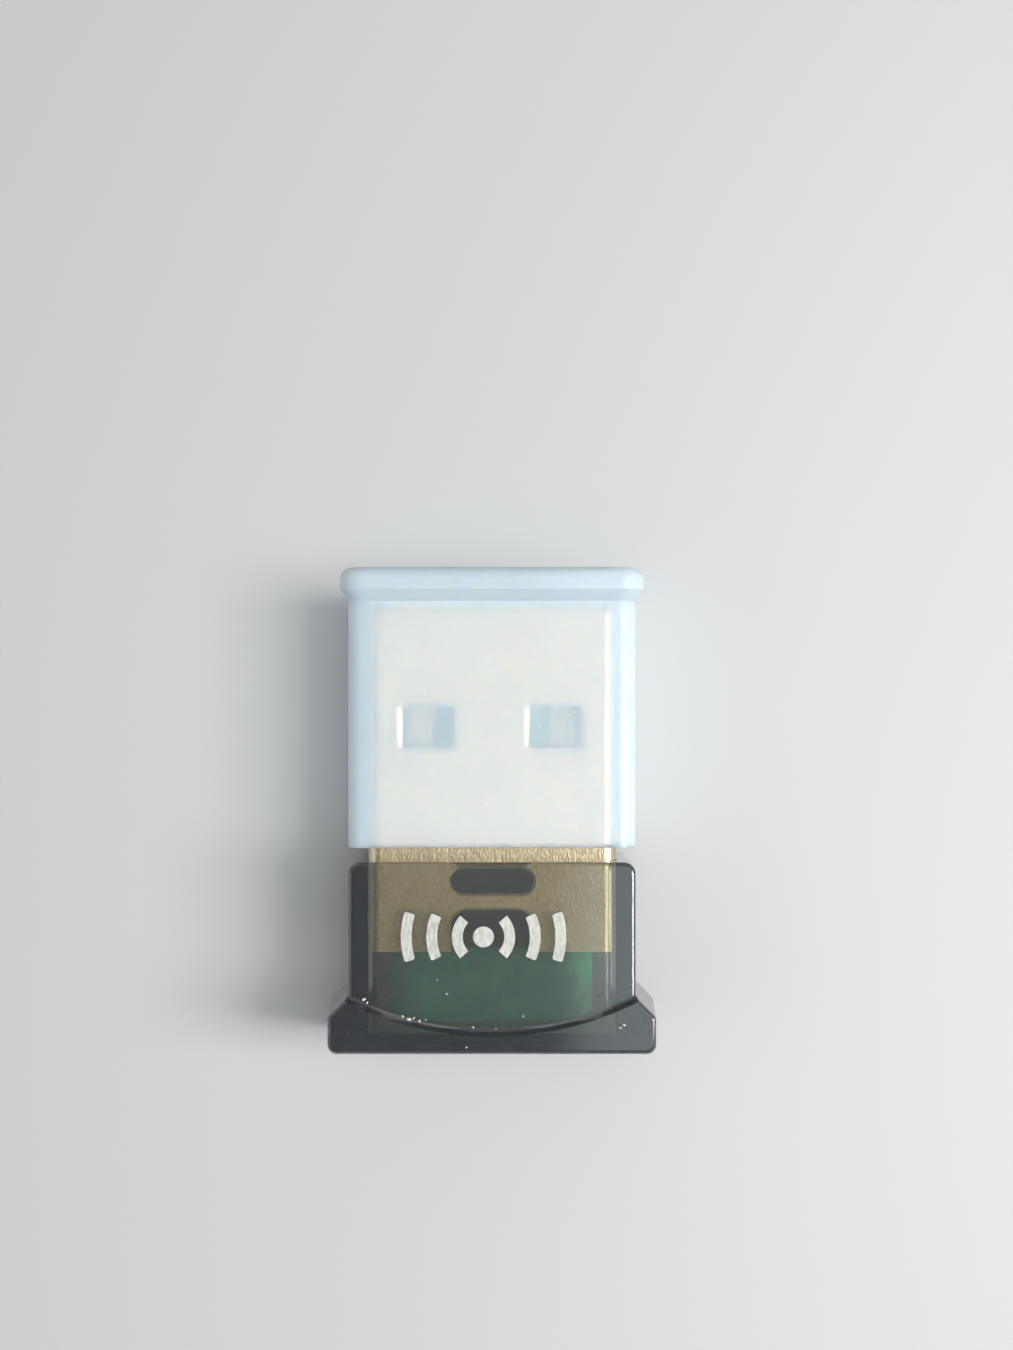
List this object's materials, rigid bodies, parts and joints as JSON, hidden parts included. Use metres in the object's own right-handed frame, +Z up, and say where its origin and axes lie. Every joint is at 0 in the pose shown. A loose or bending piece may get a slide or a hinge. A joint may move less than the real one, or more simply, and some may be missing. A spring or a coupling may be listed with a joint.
{
  "type": "usb bluetooth adapter",
  "caption": "Short USB-A radio adapter with a gold plug, a smoke-clear housing flared into a thumb flange, and a milky pull-off cap.",
  "frame": {"origin": "bottom centre of the capped adapter, on the surface that it lies on", "axes": "+Y the way the plug points, +Z up out of the flat face that shows, +X to the right seen from above with the plug pointing up"},
  "size_m": [0.016, 0.0232, 0.0071],
  "materials": {
    "cap_plastic": "milky translucent soft plastic, satin",
    "smoke_plastic": "smoke-tinted clear plastic, polished",
    "gold_plating": "satin gold plating with fine grain on folded steel",
    "tray_plastic": "moulded insulator, fine matt",
    "board_laminate": "green solder mask on glass-fibre laminate",
    "contact_gold": "smooth gold plating",
    "chip_moulding": "black moulding compound, fine grain",
    "tinned_metal": "bright tin",
    "crystal_metal": "nickel lid on ceramic",
    "masked_copper": "copper under green solder mask",
    "capacitor_ceramic": "fired ceramic with tinned ends",
    "resistor_ceramic": "black glaze with tinned ends",
    "inductor_ceramic": "blue-grey ceramic with tinned ends"
  },
  "bodies": {
    "adapter": {"housing": "smoke_plastic", "plug_shell": "gold_plating", "board_tray": "tray_plastic", "circuit_board": "board_laminate", "contact_power": "contact_gold", "contact_data_minus": "contact_gold", "contact_data_plus": "contact_gold", "contact_ground": "contact_gold", "radio_chip": "chip_moulding", "chip_leads": "tinned_metal", "crystal": "crystal_metal", "antenna": "masked_copper", "capacitor_1": "capacitor_ceramic", "capacitor_2": "capacitor_ceramic", "capacitor_3": "capacitor_ceramic", "capacitor_4": "capacitor_ceramic", "capacitor_5": "capacitor_ceramic", "capacitor_6": "capacitor_ceramic", "capacitor_7": "capacitor_ceramic", "capacitor_8": "capacitor_ceramic", "resistor_1": "resistor_ceramic", "resistor_2": "resistor_ceramic", "matching_inductor": "inductor_ceramic"},
    "cap": {"cap": "cap_plastic"}
  },
  "joints": [
    {"name": "cap_pull", "type": "slide", "parent": "adapter", "child": "cap", "axis": [0, 1, 0], "range_m": [0, 0.014]}
  ]
}
